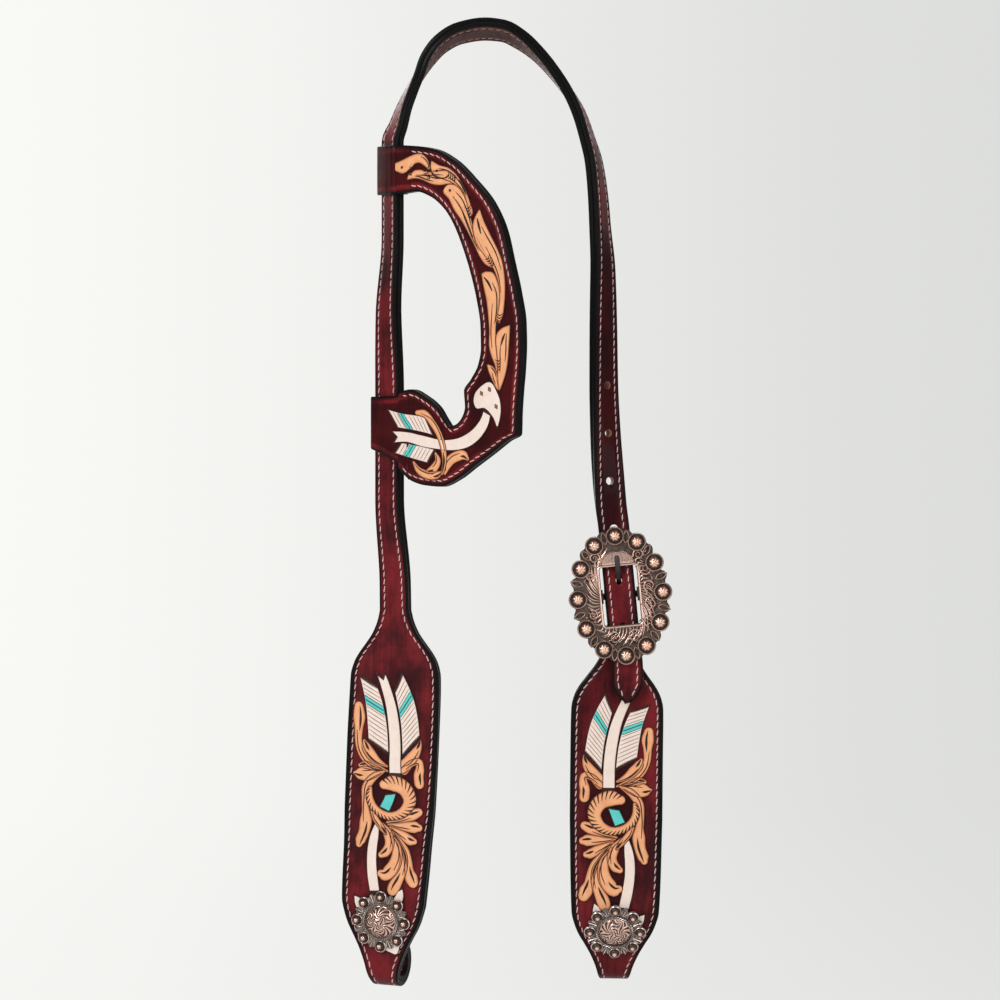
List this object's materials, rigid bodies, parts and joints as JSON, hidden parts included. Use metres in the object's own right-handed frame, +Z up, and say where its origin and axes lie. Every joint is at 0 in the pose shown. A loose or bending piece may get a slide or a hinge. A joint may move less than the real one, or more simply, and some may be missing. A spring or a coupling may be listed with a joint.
{
  "type": "western headstall",
  "caption": "Doubled leather headstall with a crown strap, sliding ear piece, buckled cheek piece and screwed bit loops.",
  "frame": {"origin": "underside of the crown strap at the top of its arch, where it lies on the horse's poll", "axes": "+Z up, -Y is the front that faces the viewer, +X to the viewer's right as the headstall hangs"},
  "size_m": [0.169, 0.1047, 0.4963],
  "materials": {
    "burgundy_leather": "oxblood dyed leather, semi-gloss",
    "ear_leather": "oxblood dyed leather, semi-gloss",
    "black_lining": "black painted edges and lining, satin",
    "antique_gunmetal": "engraved, antiqued dark in the recesses",
    "antique_copper": "polished high spots on antiqued copper",
    "worn_steel": "worn"
  },
  "bodies": {
    "crown": {"crown_strap_face": "burgundy_leather", "crown_strap_liner": "black_lining", "buckle_frame": "antique_gunmetal", "heel_bar": "worn_steel", "left_concho": "antique_gunmetal", "left_concho_dome": "antique_copper", "left_concho_post": "worn_steel", "left_concho_screw": "worn_steel", "left_concho_berry_1": "antique_copper", "left_concho_berry_2": "antique_copper", "left_concho_berry_3": "antique_copper", "left_concho_berry_4": "antique_copper", "left_concho_berry_5": "antique_copper", "left_concho_berry_6": "antique_copper", "left_concho_berry_7": "antique_copper", "left_concho_berry_8": "antique_copper", "buckle_berry_01": "antique_copper", "buckle_berry_02": "antique_copper", "buckle_berry_03": "antique_copper", "buckle_berry_04": "antique_copper", "buckle_berry_05": "antique_copper", "buckle_berry_06": "antique_copper", "buckle_berry_07": "antique_copper", "buckle_berry_08": "antique_copper", "buckle_berry_09": "antique_copper", "buckle_berry_10": "antique_copper", "buckle_berry_11": "antique_copper", "buckle_berry_12": "antique_copper"},
    "ear_piece": {"ear_piece_face": "ear_leather", "ear_piece_liner": "black_lining", "upper_ear_loop": "ear_leather", "lower_ear_loop": "ear_leather"},
    "right_cheek": {"right_cheek_face": "burgundy_leather", "right_cheek_liner": "black_lining", "right_concho": "antique_gunmetal", "right_concho_dome": "antique_copper", "right_concho_post": "worn_steel", "right_concho_screw": "worn_steel", "right_concho_berry_1": "antique_copper", "right_concho_berry_2": "antique_copper", "right_concho_berry_3": "antique_copper", "right_concho_berry_4": "antique_copper", "right_concho_berry_5": "antique_copper", "right_concho_berry_6": "antique_copper", "right_concho_berry_7": "antique_copper", "right_concho_berry_8": "antique_copper"},
    "tongue": {"buckle_tongue": "worn_steel"}
  },
  "joints": [
    {"name": "ear_piece_slide", "type": "slide", "parent": "crown", "child": "ear_piece", "axis": [0, 0, -1], "range_m": [0, 0.02]},
    {"name": "right_cheek_swing", "type": "hinge", "parent": "crown", "child": "right_cheek", "pos_m": [0.06926, 0.00901, -0.28753], "axis": [0.9954, 0, 0.0958], "range_deg": [0, 60]},
    {"name": "tongue_lift", "type": "hinge", "parent": "crown", "child": "tongue", "pos_m": [0.06926, 0.00901, -0.28753], "axis": [0.9954, 0, 0.0958], "range_deg": [0, 8]}
  ]
}
